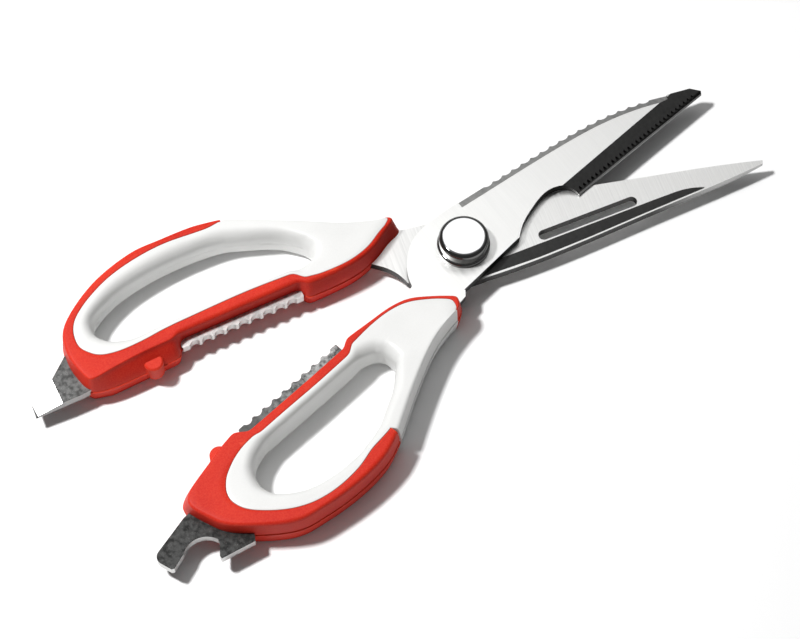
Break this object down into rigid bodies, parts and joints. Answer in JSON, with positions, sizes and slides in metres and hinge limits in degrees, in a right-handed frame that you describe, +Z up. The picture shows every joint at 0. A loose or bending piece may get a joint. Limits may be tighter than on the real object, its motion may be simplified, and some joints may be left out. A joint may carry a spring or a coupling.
{
  "type": "poultry shears",
  "caption": "Multi-purpose poultry shears with a slotted blade and a saw-toothed scaler blade on one pivot, two finger-loop handles, nutcracker jaws, bottle opener and screwdriver tip.",
  "frame": {"origin": "On the pivot axis, at the height of the flat face that the shears lie on.", "axes": "+X runs along the shears towards the blade tips, midway between the two open blades; +Z is up along the pivot, on the side of the chrome cap; +Y is on the side of the slotted half's handle."},
  "size_m": [0.243, 0.1077, 0.0155],
  "materials": {
    "red_plastic": "fine-grained moulded red",
    "white_plastic": "smooth satin white",
    "blade_steel": "ground across the blade, dark in the ground hollows and bevels",
    "tool_steel": "tumbled and polished",
    "bolt_steel": "turned",
    "chrome_cap": "polished",
    "nylon": "natural nylon",
    "red_rubber": "moulded red rubber"
  },
  "bodies": {
    "slotted_half": {"flange_washer": "chrome_cap", "friction_washer": "nylon", "pivot_bolt": "bolt_steel", "pivot_cap": "chrome_cap", "pivot_nut": "bolt_steel", "screwdriver_tip": "tool_steel", "slotted_blade": "blade_steel", "slotted_half_bottom_grip": "white_plastic", "slotted_half_bottom_shell": "red_plastic", "slotted_half_nut_jaw": "tool_steel", "slotted_half_stop_bumper": "red_rubber", "slotted_half_top_grip": "white_plastic", "slotted_half_top_shell": "red_plastic", "spring_washer": "bolt_steel"},
    "scaler_half": {"scaler_blade": "blade_steel", "bottle_opener": "tool_steel", "scaler_half_bottom_grip": "white_plastic", "scaler_half_bottom_shell": "red_plastic", "scaler_half_nut_jaw": "tool_steel", "scaler_half_stop_bumper": "red_rubber", "scaler_half_top_grip": "white_plastic", "scaler_half_top_shell": "red_plastic"}
  },
  "joints": [
    {"name": "pivot", "type": "hinge", "parent": "slotted_half", "child": "scaler_half", "pos_m": [0, 0, 0.00675], "axis": [0, 0, 1], "range_deg": [-17.5, 42]}
  ]
}
